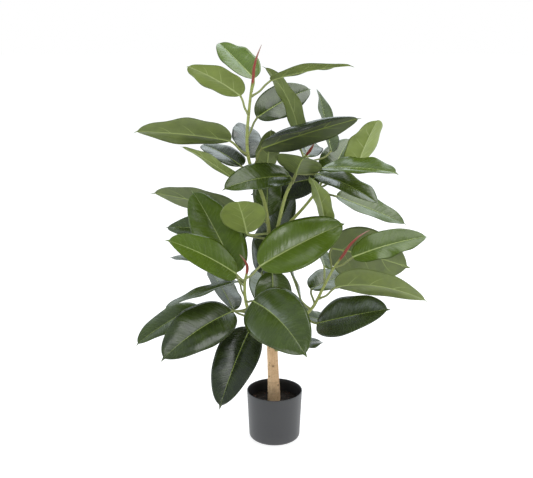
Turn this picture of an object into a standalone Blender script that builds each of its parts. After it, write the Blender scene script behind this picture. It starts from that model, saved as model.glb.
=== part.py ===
"""A potted rubber plant, about a metre tall, in a small round nursery pot.

Metres, +Z up. The origin is the middle of the pot's flat underside, and -Y is the plant's front.
The pot, the soil and the trunk stand on one axis, five stems grow from the trunk, four of them end in
a red bud, and every leaf grows from a stem or from the trunk on a stalk of its own.
"""

import math
from collections import namedtuple

import bpy
import bmesh
from mathutils import Matrix, Vector

COLLECTION = "potted_rubber_plant"

# Driving dimensions.
GAP = 0.0003  # between pieces that touch

POT_HEIGHT = 0.125
POT_RIM_RADIUS = 0.0685
POT_FOOT_RADIUS = 0.0628
POT_WALL = 0.0024
POT_FLOOR = 0.004
POT_EDGE_RADIUS = 0.009  # round between the wall and the underside
POT_SIDES = 48
ARC_POINTS = 5

SOIL_DEPTH_BELOW_RIM = 0.030
SOIL_CROWN = 0.004  # the soil rises this much towards the trunk
SOIL_SAG = 0.4  # the share of that rise reached halfway in
TRUNK_SIDE_GAP = 0.0015  # round the trunk, which isn't quite a circle
TRUNK_FOOT_GAP = 0.001

TRUNK_BEVEL_SIDES = 4  # bevel resolution, for 12 sides
STEM_BEVEL_SIDES = 2  # bevel resolution, for 8 sides
ROUTE_STEPS = 2  # straight lengths between two route points

STALK_RADIUS = 0.0025
STALK_RINGS = 4
STALK_FOOT_PULL = 0.33  # how far, as a share of the stalk, each end keeps its own direction
STALK_BLADE_PULL = 0.20
BLADE_STATIONS = (0.04, 0.13, 0.26, 0.40, 0.54, 0.67, 0.79, 0.89, 0.955)  # along the blade, 0 base to 1 tip
BLADE_THICKNESS = 0.0009
BLADE_THIN_SHARE = 0.2  # the skin is never more than this share of a half's width
BLADE_BULGE = 0.05  # rise of each half's middle, as a share of the half width
BLADE_MIDDLE = 0.55  # where that middle lies between the rib and the edge
RIB_SHARE = 0.6  # the rib's radius at the blade's base, as a share of the stalk's
RIB_TIP_RADIUS = 0.0003
OVAL_LEAN = 0.8  # below 1 the widest place lies nearer the base
OVAL_FULLNESS = 0.55  # lower is fuller
DRIP_TIP_START = 0.90  # along the blade, where the edges draw in to the pointed tip
DRIP_TIP_DRAW = 0.55  # how much of the width is drawn in
DRIP_TIP_BEND = 0.5

# One turn of section corners: right edge, upper side (3), left edge, lower side (4).
SECTION_ANGLES = (0, 45, 90, 135, 180, 216, 252, 288, 324)

# Centre lines as (x, y, z, radius).
TRUNK_ROUTE = (
    (0.000, 0.000, 0.050, 0.0165),
    (-0.001, 0.000, 0.095, 0.0160),
    (-0.003, 0.001, 0.160, 0.0140),
    (-0.006, 0.000, 0.245, 0.0130),
    (-0.008, 0.003, 0.370, 0.0122),
    (-0.006, 0.006, 0.440, 0.0117),
    (-0.006, 0.006, 0.460, 0.0116),
    (-0.006, 0.006, 0.480, 0.0115),
)
STEM_ROUTES = {
    "leader": (
        (-0.0115, 0.0040, 0.4808, 0.0045),
        (-0.0120, 0.0042, 0.5020, 0.0045),
        (-0.017, 0.004, 0.560, 0.0044),
        (-0.028, 0.000, 0.617, 0.0042),
        (-0.048, -0.005, 0.669, 0.0040),
        (-0.062, -0.009, 0.716, 0.0038),
        (-0.065, -0.010, 0.764, 0.0036),
        (-0.061, -0.010, 0.816, 0.0034),
        (-0.056, -0.010, 0.862, 0.0031),
        (-0.053, -0.010, 0.884, 0.0028),
    ),
    "middle": (
        (-0.0010, 0.0020, 0.4808, 0.0045),
        (-0.0005, 0.0020, 0.5020, 0.0044),
        (0.008, 0.003, 0.550, 0.0042),
        (0.025, 0.002, 0.622, 0.0039),
        (0.046, -0.001, 0.668, 0.0036),
        (0.060, -0.005, 0.700, 0.0033),
        (0.072, -0.010, 0.722, 0.0030),
    ),
    "back": (
        (-0.0045, 0.0120, 0.4808, 0.0042),
        (-0.0030, 0.0132, 0.5000, 0.0041),
        (0.024, 0.028, 0.535, 0.0039),
        (0.064, 0.045, 0.575, 0.0036),
        (0.096, 0.058, 0.612, 0.0033),
        (0.118, 0.060, 0.650, 0.0029),
    ),
    "front": (
        (-0.0163, -0.0098, 0.2760, 0.0045),
        (-0.0250, -0.0187, 0.2800, 0.0045),
        (-0.036, -0.030, 0.295, 0.0043),
        (-0.058, -0.051, 0.338, 0.0040),
        (-0.070, -0.059, 0.386, 0.0037),
        (-0.071, -0.060, 0.426, 0.0034),
        (-0.067, -0.060, 0.447, 0.0031),
    ),
    "right": (
        (0.0058, -0.0060, 0.2840, 0.0045),
        (0.0170, -0.0124, 0.2880, 0.0045),
        (0.034, -0.022, 0.303, 0.0042),
        (0.066, -0.031, 0.328, 0.0039),
        (0.092, -0.036, 0.358, 0.0037),
        (0.113, -0.040, 0.403, 0.0034),
        (0.135, -0.040, 0.449, 0.0031),
        (0.150, -0.040, 0.473, 0.0028),
    ),
}
BUD_ROUTES = {
    "leader": (
        (-0.0527, -0.010, 0.8857, 0.0027),
        (-0.050, -0.010, 0.903, 0.0034),
        (-0.048, -0.010, 0.925, 0.0031),
        (-0.041, -0.010, 0.950, 0.0020),
        (-0.031, -0.010, 0.975, 0.0005),
    ),
    "middle": (
        (0.0733, -0.0104, 0.7233, 0.0028),
        (0.079, -0.012, 0.731, 0.0034),
        (0.085, -0.014, 0.741, 0.0027),
        (0.091, -0.016, 0.752, 0.0005),
    ),
    "front": (
        (-0.0667, -0.060, 0.4487, 0.0029),
        (-0.065, -0.063, 0.460, 0.0036),
        (-0.066, -0.069, 0.474, 0.0031),
        (-0.073, -0.077, 0.490, 0.0018),
        (-0.082, -0.083, 0.503, 0.0005),
    ),
    "right": (
        (0.1510, -0.040, 0.4745, 0.0027),
        (0.162, -0.041, 0.491, 0.0036),
        (0.176, -0.043, 0.514, 0.0033),
        (0.197, -0.047, 0.537, 0.0020),
        (0.221, -0.050, 0.553, 0.0005),
    ),
}

# A leaf. Its stalk leaves its carrier at a height, towards a compass direction (0 is +X and 90 is +Y),
# is stalk long and climbs by rise. The blade turns off that direction by turn. It has a length, a
# width, a mean pitch above level, a droop from base to tip, a roll of its upper face to its right-hand
# side, and a fold that lifts both halves. Angles are in degrees.
Leaf = namedtuple("Leaf", "height toward stalk rise turn length width pitch droop roll fold")
LEAVES = {
    "leader": (
        Leaf(0.820, -130, 0.050, 60, -10, 0.170, 0.085, 28, 15, 35, 10),
        Leaf(0.870, 75, 0.032, 55, 50, 0.165, 0.085, 25, 5, -10, 10),
        Leaf(0.860, -10, 0.057, 40, -10, 0.200, 0.080, 12, 15, -20, 12),
        Leaf(0.765, 65, 0.062, 35, -25, 0.180, 0.085, 17, 15, 45, 10),
        Leaf(0.725, -150, 0.055, 40, -5, 0.235, 0.095, 10, 10, 40, 10),
        Leaf(0.688, 140, 0.030, 5, -10, 0.160, 0.080, 10, 20, -10, 10),
        Leaf(0.700, 95, 0.030, 15, 0, 0.160, 0.085, 20, 20, 20, 10),
        Leaf(0.645, -145, 0.055, 20, -15, 0.170, 0.070, 35, 15, 20, 10),
        Leaf(0.530, 95, 0.060, 25, -10, 0.145, 0.074, 78, 5, 0, 10),
        Leaf(0.655, 30, 0.032, 45, -100, 0.110, 0.070, 75, 10, 10, 10),
        Leaf(0.691, -40, 0.058, 60, 20, 0.250, 0.078, 20, 5, -65, 8),
        Leaf(0.515, 165, 0.050, 5, -5, 0.220, 0.100, 0, 10, -25, 10),
        Leaf(0.556, 140, 0.065, 5, 12, 0.275, 0.080, 5, 10, 70, 10),
        Leaf(0.530, -145, 0.060, 10, 45, 0.150, 0.110, 45, 15, 10, 10),
    ),
    "middle": (
        Leaf(0.714, 115, 0.030, 50, 58, 0.212, 0.068, 65, 45, 48, 10),
        Leaf(0.705, 25, 0.075, 15, 78, 0.180, 0.090, 47, 10, 50, 10),
        Leaf(0.710, -30, 0.048, -15, -5, 0.200, 0.090, 4, 15, 10, 10),
        Leaf(0.655, -70, 0.035, 50, -15, 0.170, 0.110, 25, 15, -15, 10),
        Leaf(0.645, -90, 0.035, 55, -60, 0.180, 0.085, -3, 25, -35, 10),
        Leaf(0.678, -10, 0.043, 0, -27, 0.180, 0.090, -15, 25, 10, 10),
        Leaf(0.690, 45, 0.035, 40, 50, 0.150, 0.085, 5, 20, 20, 10),
    ),
    "back": (
        Leaf(0.648, -10, 0.085, 25, -50, 0.150, 0.100, 58, 15, 0, 10),
        Leaf(0.630, -45, 0.035, 35, 110, 0.160, 0.090, 30, 20, 10, 10),
        Leaf(0.530, 19, 0.107, 2, -127, 0.215, 0.070, 47, 36, -25, 10),
        Leaf(0.621, -25, 0.048, -10, 30, 0.190, 0.085, -23, 5, 25, 10),
        Leaf(0.640, 95, 0.034, 5, 87, 0.175, 0.085, -14, 10, -72, 10),
    ),
    "front": (
        Leaf(0.420, -175, 0.035, 60, -55, 0.240, 0.125, 45, 15, -20, 10),
        Leaf(0.432, -130, 0.035, 40, -20, 0.210, 0.095, 32, 15, -55, 10),
        Leaf(0.425, 145, 0.040, 20, 5, 0.180, 0.085, 5, 15, 5, 10),
        Leaf(0.440, -20, 0.045, 45, 45, 0.240, 0.118, 19, 10, 50, 8),
        Leaf(0.380, -65, 0.038, 20, 10, 0.225, 0.140, -18, 40, 40, 8),
        Leaf(0.315, -107, 0.035, 10, -5, 0.225, 0.107, -35, 20, -10, 10),
        Leaf(0.360, -155, 0.035, 0, 20, 0.230, 0.120, -15, 25, -30, 10),
        Leaf(0.350, 170, 0.120, 5, 50, 0.190, 0.080, -17, 15, -10, 10),
        Leaf(0.395, 140, 0.035, 60, 70, 0.200, 0.065, -10, 8, 10, 10),
        Leaf(0.335, 145, 0.050, 10, -30, 0.160, 0.080, 20, 20, 20, 10),
    ),
    "right": (
        Leaf(0.350, 170, 0.030, 45, -30, 0.130, 0.065, 60, 15, 40, 10),
        Leaf(0.365, 100, 0.043, 30, -55, 0.180, 0.090, 0, 20, 15, 10),
        Leaf(0.462, -30, 0.050, 35, 45, 0.195, 0.080, 11, 15, 35, 10),
        Leaf(0.450, 90, 0.058, 45, -70, 0.225, 0.140, -19, 10, -100, 10),
        Leaf(0.415, 95, 0.040, 75, 0, 0.130, 0.070, 10, 20, 50, 10),
        Leaf(0.382, -30, 0.057, 40, -5, 0.245, 0.100, 3, 35, -50, 10),
        Leaf(0.333, -35, 0.035, -15, 0, 0.210, 0.115, 22, 5, 45, 10),
        Leaf(0.305, 50, 0.036, 25, -5, 0.170, 0.080, -28, 20, 25, 10),
    ),
    "trunk": (
        Leaf(0.235, -50, 0.040, 20, 100, 0.150, 0.080, -10, 20, 5, 10),
        Leaf(0.385, 120, 0.045, 40, -74, 0.220, 0.112, 58, 20, 0, 10),
        Leaf(0.440, -90, 0.025, 10, 5, 0.130, 0.090, -75, 15, 0, 10),
        Leaf(0.300, 95, 0.045, 20, 0, 0.200, 0.095, 15, 25, 0, 10),
    ),
}


def clear_scene():
    for obj in list(bpy.data.objects):
        bpy.data.objects.remove(obj, do_unlink=True)


def new_collection(name):
    collection = bpy.data.collections.new(name)
    bpy.context.scene.collection.children.link(collection)
    return collection


def plain_material(name, color, roughness):
    material = bpy.data.materials.new(name)
    material.use_nodes = True
    shader = material.node_tree.nodes["Principled BSDF"]
    shader.inputs["Base Color"].default_value = (*color, 1)
    shader.inputs["Roughness"].default_value = roughness
    shader.inputs["Metallic"].default_value = 0
    return material


# Turned pieces: the pot and the soil.


def turned(name, profile, material, collection):
    """Turns a profile of (radius, height) points that starts and ends on the axis."""
    mesh = bpy.data.meshes.new(name)
    points = [(radius, 0, height) for radius, height in profile]
    mesh.from_pydata(points, [(i, i + 1) for i in range(len(points) - 1)], [])
    obj = bpy.data.objects.new(name, mesh)
    screw = obj.modifiers.new("turn", "SCREW")
    screw.steps = POT_SIDES
    screw.render_steps = POT_SIDES
    screw.use_merge_vertices = True
    screw.merge_threshold = 0.00001
    mesh.materials.append(material)
    collection.objects.link(obj)
    return obj


def pot_outer_radius(height):
    return POT_FOOT_RADIUS + (POT_RIM_RADIUS - POT_FOOT_RADIUS) * height / POT_HEIGHT


def pot_inner_radius(height):
    return pot_outer_radius(height) - POT_WALL


def arc(center, radius, start, end):
    """Points on an arc in a profile, with its angles in degrees from the radius direction."""
    angles = [math.radians(start + (end - start) * i / (ARC_POINTS - 1)) for i in range(ARC_POINTS)]
    return [(center[0] + radius * math.cos(a), center[1] + radius * math.sin(a)) for a in angles]


def make_pot(material, collection):
    rim_round = POT_WALL / 2
    rim_center = (POT_RIM_RADIUS - rim_round, POT_HEIGHT - rim_round)
    edge_center = (pot_outer_radius(POT_EDGE_RADIUS) - POT_EDGE_RADIUS, POT_EDGE_RADIUS)
    corner_radius = POT_EDGE_RADIUS - POT_WALL
    corner_center = (pot_inner_radius(POT_FLOOR + corner_radius) - corner_radius, POT_FLOOR + corner_radius)
    profile = [(0, POT_FLOOR)]
    profile += arc(corner_center, corner_radius, -90, 0)
    profile += arc(rim_center, rim_round, 180, 0)
    profile += arc(edge_center, POT_EDGE_RADIUS, 0, -90)
    profile.append((0, 0))
    return turned("pot", profile, material, collection)


def make_soil(material, collection):
    bottom = POT_FLOOR + GAP
    corner = POT_EDGE_RADIUS - POT_WALL
    top = POT_HEIGHT - SOIL_DEPTH_BELOW_RIM
    hole = TRUNK_ROUTE[0][3] + TRUNK_SIDE_GAP
    hole_floor = TRUNK_ROUTE[0][2] - TRUNK_FOOT_GAP
    outer = pot_inner_radius(top) - GAP
    profile = [
        (0, hole_floor),
        (hole, hole_floor),
        (hole, top + SOIL_CROWN),
        ((hole + outer) / 2, top + SOIL_CROWN * SOIL_SAG),
        (outer, top),
        (pot_inner_radius(bottom + corner) - GAP, bottom + corner),
        (pot_inner_radius(bottom) - corner - GAP, bottom),
        (0, bottom),
    ]
    return turned("soil", profile, material, collection)


# Round tapered pieces: the trunk, the stems and the buds.


def smooth_route(route, steps):
    """Points on a smooth curve through a route of (x, y, z, radius), its ends kept."""
    points = [Vector(p) for p in route]
    ends = [points[0] * 2 - points[1], *points, points[-1] * 2 - points[-2]]
    result = []
    for a, b, c, d in zip(ends, ends[1:], ends[2:], ends[3:]):
        for i in range(steps):
            t = i / steps
            result.append(
                b + (c - a) * (t / 2)
                + (a * 2 - b * 5 + c * 4 - d) * (t * t / 2)
                + (b * 3 - c * 3 + d - a) * (t * t * t / 2)
            )
    return [*result, points[-1]]


def tapered_rod(name, route, sides, material, collection):
    curve = bpy.data.curves.new(name, "CURVE")
    curve.dimensions = "3D"
    curve.bevel_depth = 1
    curve.bevel_resolution = sides
    curve.use_fill_caps = True
    points = smooth_route(route, ROUTE_STEPS)
    spline = curve.splines.new("POLY")
    spline.points.add(len(points) - 1)
    for point, (x, y, z, radius) in zip(spline.points, points):
        point.co = (x, y, z, 1)
        point.radius = radius
    curve.materials.append(material)
    obj = bpy.data.objects.new(name, curve)
    collection.objects.link(obj)
    return obj


# Leaves.


def compass(heading, pitch):
    """The unit vector that points towards a heading and climbs by a pitch, in degrees."""
    h, p = math.radians(heading), math.radians(pitch)
    return Vector((math.cos(h) * math.cos(p), math.sin(h) * math.cos(p), math.sin(p)))


def at_height(route, height):
    """The centre, the direction and the radius of a carrier at a height."""
    points = smooth_route(route, ROUTE_STEPS)
    for low, high in zip(points, points[1:]):
        if height <= high.z or high is points[-1]:
            share = (height - low.z) / (high.z - low.z)
            point = low.lerp(high, share)
            return point.xyz, (high - low).xyz.normalized(), max(low.w, high.w)
    raise ValueError("the carrier is not that tall")


def stalk_line(leaf, carrier):
    """Points and directions along the stalk, from the carrier's side to the blade's base."""
    center, along, radius = at_height(carrier, leaf.height)
    away = compass(leaf.toward, 0)
    away = (away - along * away.dot(along)).normalized()
    start = center + away * (radius + GAP)
    climb = compass(leaf.toward, leaf.rise)
    end = start + climb * leaf.stalk
    from_foot = (away + climb).normalized() * (leaf.stalk * STALK_FOOT_PULL)
    heading, pitch = leaf.toward + leaf.turn, leaf.pitch + leaf.droop / 2
    into_blade = compass(heading, pitch) * (leaf.stalk * STALK_BLADE_PULL)
    a, b, c, d = start, start + from_foot, end - into_blade, end
    line = []
    for i in range(STALK_RINGS):
        t = i / (STALK_RINGS - 1)
        s = 1 - t
        point = a * s**3 + b * (3 * s * s * t) + c * (3 * s * t * t) + d * t**3
        direction = (b - a) * (s * s) + (c - b) * (2 * s * t) + (d - c) * (t * t)
        line.append((point, direction.normalized() if i else away))  # the foot lies flat on its carrier
    return line


def blade_frame(leaf, share):
    """The blade's direction, right-hand side and upper-face normal, at a share of its length."""
    heading = leaf.toward + leaf.turn
    along = compass(heading, leaf.pitch + leaf.droop * (0.5 - share))
    roll = Matrix.Rotation(math.radians(leaf.roll), 3, along)
    right = roll @ compass(heading - 90, 0)
    return along, right, right.cross(along)


def half_width(leaf, share):
    """An ellipse that draws in to a drip tip."""
    oval = math.sin(math.pi * share**OVAL_LEAN) ** OVAL_FULLNESS
    tip = min(1, max(0, (share - DRIP_TIP_START) / (1 - DRIP_TIP_START)))
    return leaf.width / 2 * oval * (1 - DRIP_TIP_DRAW * tip**DRIP_TIP_BEND)


def stalk_section(point, right, up, radius):
    ring = []
    for angle in SECTION_ANGLES:
        a = math.radians(angle)
        ring.append(point + right * (radius * math.cos(a)) + up * (radius * math.sin(a)))
    return ring


def blade_section(leaf, point, share, right, up):
    half = half_width(leaf, share)
    fold = math.radians(leaf.fold)
    edge = (half * math.cos(fold), half * math.sin(fold))
    middle = (edge[0] * BLADE_MIDDLE, edge[1] * BLADE_MIDDLE + half * BLADE_BULGE)
    skin = min(BLADE_THICKNESS / 2, half * BLADE_THIN_SHARE)
    rib = STALK_RADIUS * RIB_SHARE * (1 - share) + RIB_TIP_RADIUS
    corners = (
        edge,
        (middle[0], middle[1] + skin),
        (0, skin),
        (-middle[0], middle[1] + skin),
        (-edge[0], edge[1]),
        (-middle[0], middle[1] - skin),
        (-rib / 2, -skin - rib),
        (rib / 2, -skin - rib),
        (middle[0], middle[1] - skin),
    )
    return [point + right * x + up * y for x, y in corners]


def leaf_rings(leaf, carrier):
    """The sections from the stalk's foot to the last one before the tip, and the tip."""
    line = stalk_line(leaf, carrier)
    right = blade_frame(leaf, 0)[1]
    stalk = []
    for point, direction in reversed(line):
        right = (right - direction * right.dot(direction)).normalized()
        stalk.append(stalk_section(point, right, right.cross(direction), STALK_RADIUS))
    rings = stalk[::-1]
    point, last = line[-1][0], 0
    for share in (*BLADE_STATIONS, 1):
        point = point + blade_frame(leaf, (share + last) / 2)[0] * (leaf.length * (share - last))
        last = share
        _, right, up = blade_frame(leaf, share)
        if share < 1:
            rings.append(blade_section(leaf, point, share, right, up))
    return rings, point


def make_leaf(name, leaf, carrier, material, collection):
    """A loft from the round stalk to the folded blade, closed by a cap and a point."""
    rings, tip = leaf_rings(leaf, carrier)
    shape = bmesh.new()
    rows = [[shape.verts.new(corner) for corner in ring] for ring in rings]
    count = len(SECTION_ANGLES)
    shape.faces.new(rows[0])
    for low, high in zip(rows, rows[1:]):
        for i in range(count):
            j = (i + 1) % count
            shape.faces.new((low[j], low[i], high[i], high[j]))
    point = shape.verts.new(tip)
    for i in range(count):
        shape.faces.new((rows[-1][(i + 1) % count], rows[-1][i], point))
    bmesh.ops.recalc_face_normals(shape, faces=shape.faces)
    bmesh.ops.triangulate(shape, faces=shape.faces, quad_method="SHORT_EDGE")
    mesh = bpy.data.meshes.new(name)
    shape.to_mesh(mesh)
    shape.free()
    mesh.shade_smooth()
    mesh.materials.append(material)
    obj = bpy.data.objects.new(name, mesh)
    collection.objects.link(obj)
    return obj


def main():
    clear_scene()
    plant = new_collection(COLLECTION)
    make_pot(plain_material("grey_plastic", (0.085, 0.088, 0.092), 0.42), plant)
    make_soil(plain_material("soil", (0.030, 0.021, 0.015), 0.95), plant)
    bark = plain_material("bark", (0.48, 0.33, 0.19), 0.8)
    green_stem = plain_material("green_stem", (0.30, 0.36, 0.12), 0.5)
    red_bud = plain_material("red_bud", (0.40, 0.07, 0.05), 0.45)
    green_leaf = plain_material("green_leaf", (0.050, 0.110, 0.028), 0.35)
    tapered_rod("trunk", TRUNK_ROUTE, TRUNK_BEVEL_SIDES, bark, plant)
    for name, route in STEM_ROUTES.items():
        tapered_rod(f"{name}_stem", route, STEM_BEVEL_SIDES, green_stem, plant)
    for name, route in BUD_ROUTES.items():
        tapered_rod(f"{name}_bud", route, STEM_BEVEL_SIDES, red_bud, plant)
    carriers = {**STEM_ROUTES, "trunk": TRUNK_ROUTE}
    for name, leaves in LEAVES.items():
        for number, leaf in enumerate(leaves, 1):
            make_leaf(f"{name}_leaf_{number:02d}", leaf, carriers[name], green_leaf, plant)


main()
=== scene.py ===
# %% [markdown]
# # A potted rubber plant
#
# The finished look of a young rubber plant, about a metre tall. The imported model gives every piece
# its place and size. Each step below takes one kind of piece and gives it its real surface.

# %% Load the frame
import math
import random

import bmesh
import bpy
import numpy as np
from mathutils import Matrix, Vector


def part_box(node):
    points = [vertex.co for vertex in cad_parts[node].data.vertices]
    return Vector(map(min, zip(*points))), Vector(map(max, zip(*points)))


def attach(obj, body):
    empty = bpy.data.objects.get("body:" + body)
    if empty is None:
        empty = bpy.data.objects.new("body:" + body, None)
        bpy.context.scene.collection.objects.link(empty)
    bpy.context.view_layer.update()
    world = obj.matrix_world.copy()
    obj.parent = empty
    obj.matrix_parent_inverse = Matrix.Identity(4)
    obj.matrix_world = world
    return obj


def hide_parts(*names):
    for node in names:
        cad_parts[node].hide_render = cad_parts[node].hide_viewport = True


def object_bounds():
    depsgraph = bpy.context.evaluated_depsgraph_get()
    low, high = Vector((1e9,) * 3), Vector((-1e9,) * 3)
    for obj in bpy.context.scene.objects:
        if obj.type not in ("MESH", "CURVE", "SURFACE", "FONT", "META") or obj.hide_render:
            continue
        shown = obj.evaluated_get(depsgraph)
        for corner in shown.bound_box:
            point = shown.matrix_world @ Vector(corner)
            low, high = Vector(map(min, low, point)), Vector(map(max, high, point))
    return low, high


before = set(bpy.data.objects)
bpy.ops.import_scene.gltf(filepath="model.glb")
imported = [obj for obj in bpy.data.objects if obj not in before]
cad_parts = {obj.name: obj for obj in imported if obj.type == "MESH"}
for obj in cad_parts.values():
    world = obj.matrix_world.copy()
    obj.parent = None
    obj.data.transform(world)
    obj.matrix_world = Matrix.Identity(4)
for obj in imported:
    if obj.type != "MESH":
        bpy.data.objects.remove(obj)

CAD_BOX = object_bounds()
BODY = "root"
NODES = sorted(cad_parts)
STEMS = [name for name in NODES if name.endswith("_stem")]
BUDS = [name for name in NODES if name.endswith("_bud")]
LEAVES = [name for name in NODES if "_leaf_" in name]
print(len(STEMS), "stems,", len(BUDS), "buds,", len(LEAVES), "leaves")

# %% [markdown]
# ## Handing a piece over
#
# Every new piece rides on the plant's only body and stands for a solid of the imported model, which
# it hides. One helper does both, so that no piece misses one.
# Another turns an object with modifiers into a plain mesh, which is what an export wants.

# %% Hand over and flatten


def hand_over(piece, slot, *replaced):
    """Rides a finished piece on the plant and says which solids it stands for."""
    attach(piece, BODY)
    if replaced:
        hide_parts(*replaced)


def show(name, data):
    """A new object in the scene, for a mesh, a lamp or a camera."""
    thing = bpy.data.objects.new(name, data)
    bpy.context.scene.collection.objects.link(thing)
    return thing


def flatten(piece):
    """Applies a piece's modifiers for good."""
    graph = bpy.context.evaluated_depsgraph_get()
    mesh = bpy.data.meshes.new_from_object(piece.evaluated_get(graph), preserve_all_data_layers=True,
                                           depsgraph=graph)
    piece.modifiers.clear()
    piece.data = mesh
    mesh.name = piece.name
    return mesh


# %% [markdown]
# ## Short ways to write node trees
#
# Materials and geometry trees are both made of nodes and links. One helper adds a node: plain
# keywords set its options, and the dictionary sets its sockets, where a value that is itself an
# output socket becomes a link. The other helpers are for what masks need often: arithmetic, noise
# and soft steps.

# %% Node helpers


def add(tree, kind, sockets=None, **options):
    node = tree.nodes.new(kind)
    for option, value in options.items():
        setattr(node, option, value)
    for key, value in (sockets or {}).items():
        if isinstance(value, bpy.types.NodeSocket):
            tree.links.new(value, node.inputs[key])
        else:
            node.inputs[key].default_value = value
    return node


def calc(tree, operation, first, second=0.5):
    """A Math node's result."""
    return add(tree, "ShaderNodeMath", {0: first, 1: second}, operation=operation).outputs[0]


def times(tree, first, second):
    return calc(tree, "MULTIPLY", first, second)


def plus(tree, first, second):
    return calc(tree, "ADD", first, second)


def minus(tree, first, second):
    return calc(tree, "SUBTRACT", first, second)


def noise(tree, place, scale, detail):
    sockets = {"Vector": place, "Scale": scale, "Detail": detail}
    return add(tree, "ShaderNodeTexNoise", sockets).outputs[0]


def soft_step(tree, value, low, high):
    """0 below low, 1 above high, and a smooth rise between them; low may be the larger one."""
    node = add(tree, "ShaderNodeMapRange", {"Value": value, "From Min": low, "From Max": high},
               interpolation_type="SMOOTHSTEP")
    return node.outputs["Result"]


def blend_colors(tree, factor, first, second):
    first, second = (color if isinstance(color, bpy.types.NodeSocket) else (*color, 1)
                     for color in (first, second))
    return add(tree, "ShaderNodeMix", {0: factor, 6: first, 7: second}, data_type="RGBA").outputs[2]


def new_group(name, kind, inputs, outputs):
    """A node tree with named sockets, given as {name: (socket type, default)}."""
    tree = bpy.data.node_groups.new(name, kind)
    for socket_name, (socket_type, default) in inputs.items():
        socket = tree.interface.new_socket(socket_name, in_out="INPUT", socket_type=socket_type)
        if default is not None:
            socket.default_value = default
    for socket_name, socket_type in outputs.items():
        tree.interface.new_socket(socket_name, in_out="OUTPUT", socket_type=socket_type)
    return tree, tree.nodes.new("NodeGroupInput").outputs, tree.nodes.new("NodeGroupOutput").inputs


def new_material(name, roughness, specular=0.5):
    """A Principled material with its tree and shader; sockets that never vary are set here."""
    material = bpy.data.materials.new(name)
    material.use_nodes = True
    tree = material.node_tree
    shader = tree.nodes["Principled BSDF"]
    shader.inputs["Roughness"].default_value = roughness
    shader.inputs["Specular IOR Level"].default_value = specular
    return material, tree, shader


# %% [markdown]
# ## Shared surface effects
#
# No natural surface has one even colour, so most materials here use a cloudy mottle of two sizes,
# which reads as uneven growth, dust or wear. Both sides of a leaf also share a vein pattern: lines
# that leave the midrib at a slant, at an even spacing. Both effects are groups that give out masks,
# and each material decides what the masks do.

# %% Mottle and vein groups
FLOAT, VECTOR = "NodeSocketFloat", "NodeSocketVector"


def mottle_group():
    tree, given, result = new_group(
        "mottle", "ShaderNodeTree",
        {"Place": (VECTOR, None), "Scale": (FLOAT, 30.0), "Detail": (FLOAT, 3.0),
         "Fine Share": (FLOAT, 0.35)},
        {"Mixed": FLOAT},
    )
    clouds = noise(tree, given["Place"], given["Scale"], given["Detail"])
    fine = noise(tree, given["Place"], times(tree, given["Scale"], 9.0), 2.0)
    mixed = add(tree, "ShaderNodeMix", {0: given["Fine Share"], 2: clouds, 3: fine})
    tree.links.new(mixed.outputs[0], result["Mixed"])
    return tree


def vein_group():
    """Along and Across are shares of the blade; Count is how many veins leave each side."""
    tree, given, result = new_group(
        "side_veins", "ShaderNodeTree",
        {"Along": (FLOAT, 0.0), "Across": (FLOAT, 0.0), "Count": (FLOAT, 12.0),
         "Lean": (FLOAT, 0.12), "Width": (FLOAT, 0.25), "Reach": (FLOAT, 0.9)},
        {"Vein": FLOAT},
    )
    slant = times(tree, given["Across"], given["Lean"])
    phase = times(tree, minus(tree, given["Along"], slant), given["Count"])
    distance = calc(tree, "ABSOLUTE", minus(tree, calc(tree, "FRACT", phase), 0.5))
    line = soft_step(tree, distance, given["Width"], 0.0)
    faded = times(tree, line, soft_step(tree, given["Across"], given["Reach"], 0.1))
    tree.links.new(faded, result["Vein"])
    return tree


MOTTLE = mottle_group()
VEINS = vein_group()


def use_group(tree, group, sockets):
    return add(tree, "ShaderNodeGroup", sockets, node_tree=group).outputs


def object_place(tree):
    return add(tree, "ShaderNodeTexCoord").outputs["Object"]


def from_axis(tree, place):
    """How far a point is from the upright line through the middle of the pot."""
    flat = add(tree, "ShaderNodeVectorMath", {0: place, 1: (1, 1, 0)}, operation="MULTIPLY").outputs[0]
    return add(tree, "ShaderNodeVectorMath", {0: flat}, operation="LENGTH").outputs["Value"]


def bump(tree, shader, height, distance, strength=1.0):
    node = add(tree, "ShaderNodeBump", {"Height": height, "Distance": distance, "Strength": strength})
    tree.links.new(node.outputs[0], shader.inputs["Normal"])


print("groups:", MOTTLE.name, VEINS.name)

# %% [markdown]
# ## The pot
#
# A nursery pot is injection moulded: one thin wall, a rounded rim, a rounded foot. It is a turned
# shape, so a profile and a Screw modifier make it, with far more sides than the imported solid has.
# The sizes are read from that solid. The profile runs from the inside floor over the rim to the
# middle of the underside.

# %% Pot mesh
POT_WALL = 0.0024
POT_FLOOR = 0.004
POT_FOOT_ROUND = 0.009
TURNED_SIDES = 144


def turned_mesh(name, profile, sides=TURNED_SIDES):
    """Turns (radius, height) points about the vertical axis."""
    mesh = bpy.data.meshes.new(name)
    mesh.from_pydata([(r, 0, z) for r, z in profile], [(i, i + 1) for i in range(len(profile) - 1)], [])
    piece = show(name, mesh)
    screw = piece.modifiers.new("turn", "SCREW")
    screw.steps = screw.render_steps = sides
    screw.use_merge_vertices = True
    screw.merge_threshold = 0.00001
    flatten(piece)
    piece.data.shade_smooth()
    return piece


def arc(center, radius, start, end, count=10):
    angles = [math.radians(start + (end - start) * i / (count - 1)) for i in range(count)]
    return [(center[0] + radius * math.cos(a), center[1] + radius * math.sin(a)) for a in angles]


def straight(start, end, count=12):
    """Points between two profile points, without the points themselves."""
    return [tuple(a + (b - a) * i / count for a, b in zip(start, end)) for i in range(1, count)]


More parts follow.
